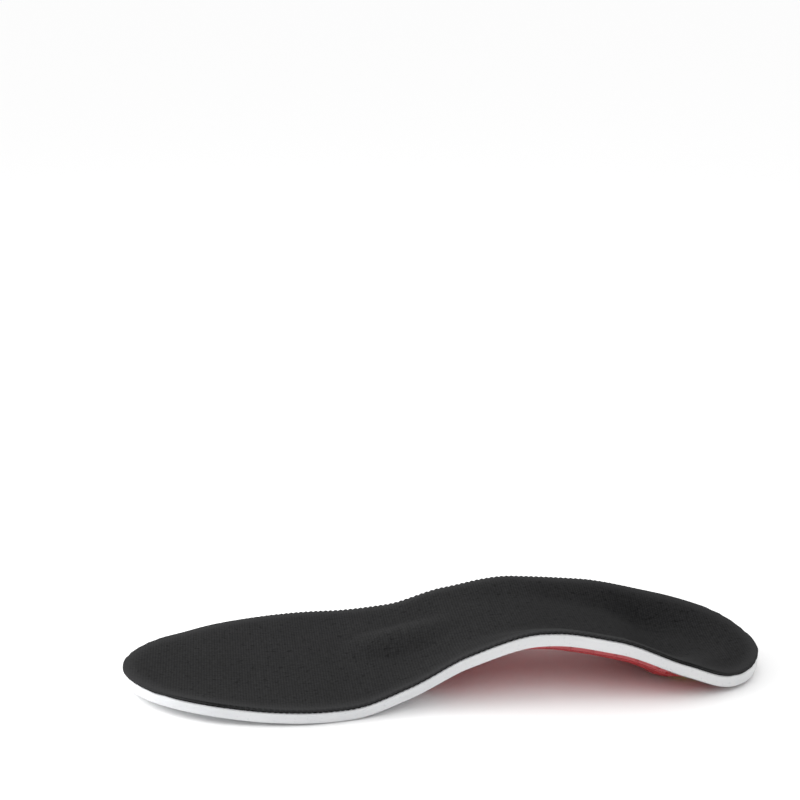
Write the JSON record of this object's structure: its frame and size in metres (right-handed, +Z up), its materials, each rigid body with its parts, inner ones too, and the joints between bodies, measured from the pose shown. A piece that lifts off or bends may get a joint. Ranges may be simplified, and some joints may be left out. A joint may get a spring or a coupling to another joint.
{
  "type": "cushioned insole",
  "caption": "Right-foot arch-support insole: black knit cover on a white foam base, metatarsal dome, red castellated gel shell under heel and arch, and a yellow gel heel pad.",
  "frame": {"origin": "middle of the insole's length and width, on the surface that it lies on", "axes": "+X towards the heel, +Y towards the lateral (outer) side, +Z up; the medial arch side is -Y"},
  "size_m": [0.268, 0.0968, 0.0302],
  "materials": {
    "knit_cover": "black ribbed knit, matt",
    "foam": "white closed-cell foam, matt with a fine speckle on the cut edge",
    "pad_foam": "soft light grey foam, matt",
    "red_gel": "moulded red gel, glossy in the centre and frosted on the raised bands",
    "yellow_gel": "soft yellow gel, satin"
  },
  "bodies": {
    "rearfoot": {"top_cover_rear": "knit_cover", "foam_base_rear": "foam", "metatarsal_pad": "pad_foam", "arch_shell": "red_gel", "heel_pad": "yellow_gel"},
    "forefoot": {"top_cover_front": "knit_cover", "foam_base_front": "foam"}
  },
  "joints": [
    {"name": "forefoot_flex", "type": "hinge", "parent": "rearfoot", "child": "forefoot", "pos_m": [-0.059, 0, 0.009], "axis": [0, 1, 0], "range_deg": [0, 80], "stiffness_Nm_per_rad": 0.05}
  ]
}
